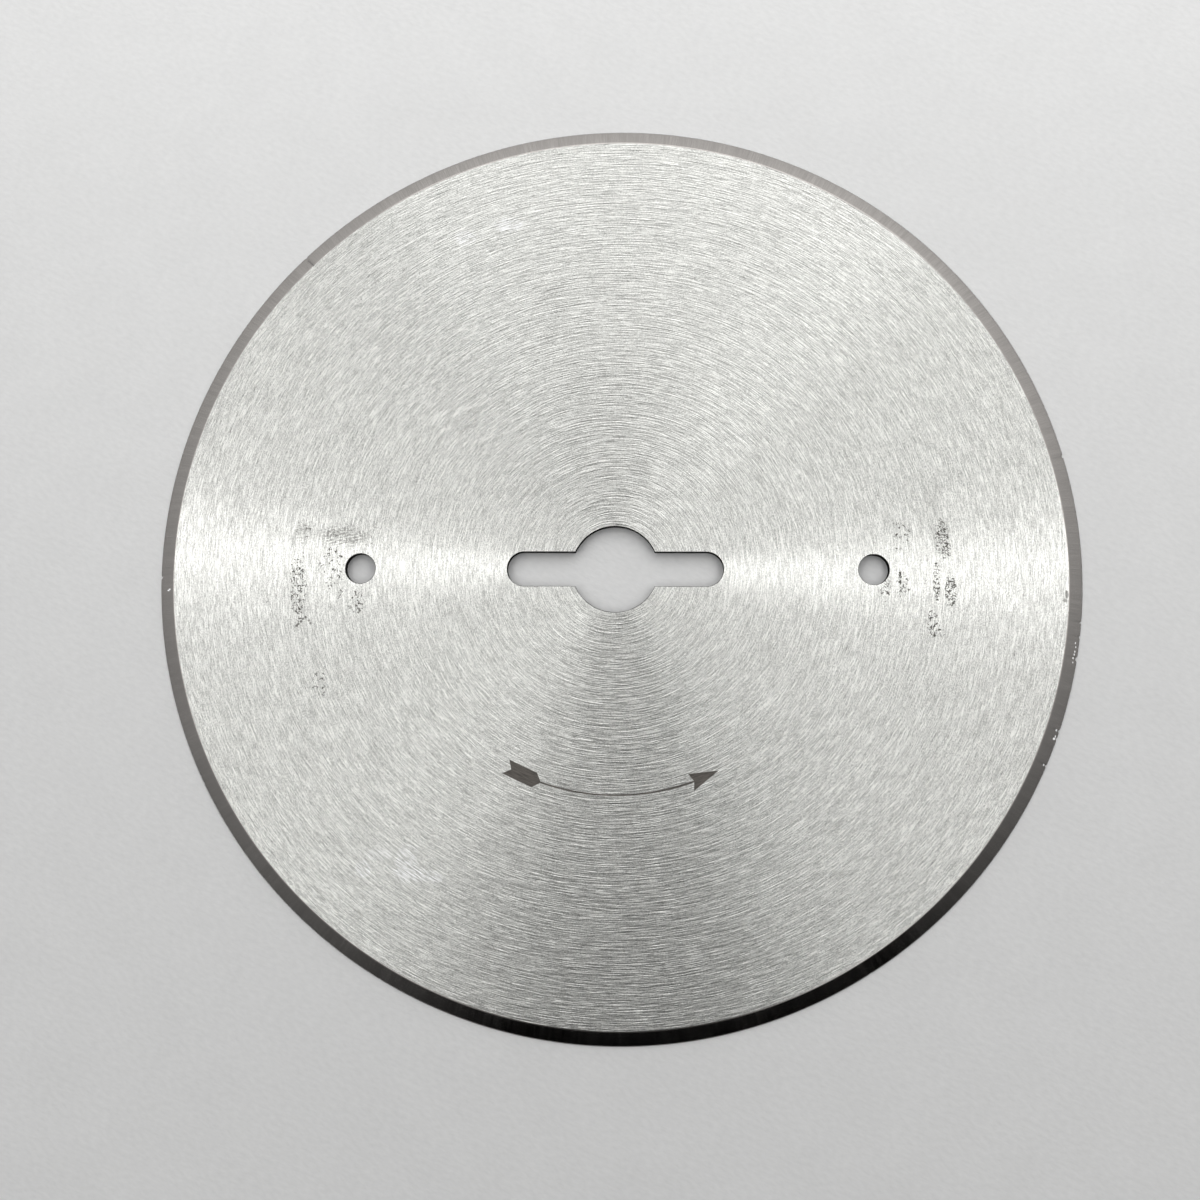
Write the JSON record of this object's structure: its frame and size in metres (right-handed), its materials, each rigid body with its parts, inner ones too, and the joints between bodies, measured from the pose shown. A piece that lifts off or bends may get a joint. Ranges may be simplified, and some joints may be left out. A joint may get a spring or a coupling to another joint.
{
  "type": "round cutter knife",
  "caption": "Flat round steel cutter knife with an edge ground from its marked side, a keyed hub opening and driving pin holes.",
  "frame": {"origin": "centre of the hub bore on the flat underside", "axes": "+Z along the turning axis towards the marked side, X along the key slots and the pin holes"},
  "size_m": [0.107, 0.107, 0.001],
  "materials": {
    "ground_steel": "ground flat and brushed in circles, with a darker ground bevel"
  },
  "bodies": {
    "root": {"round_knife": "ground_steel"}
  },
  "joints": []
}
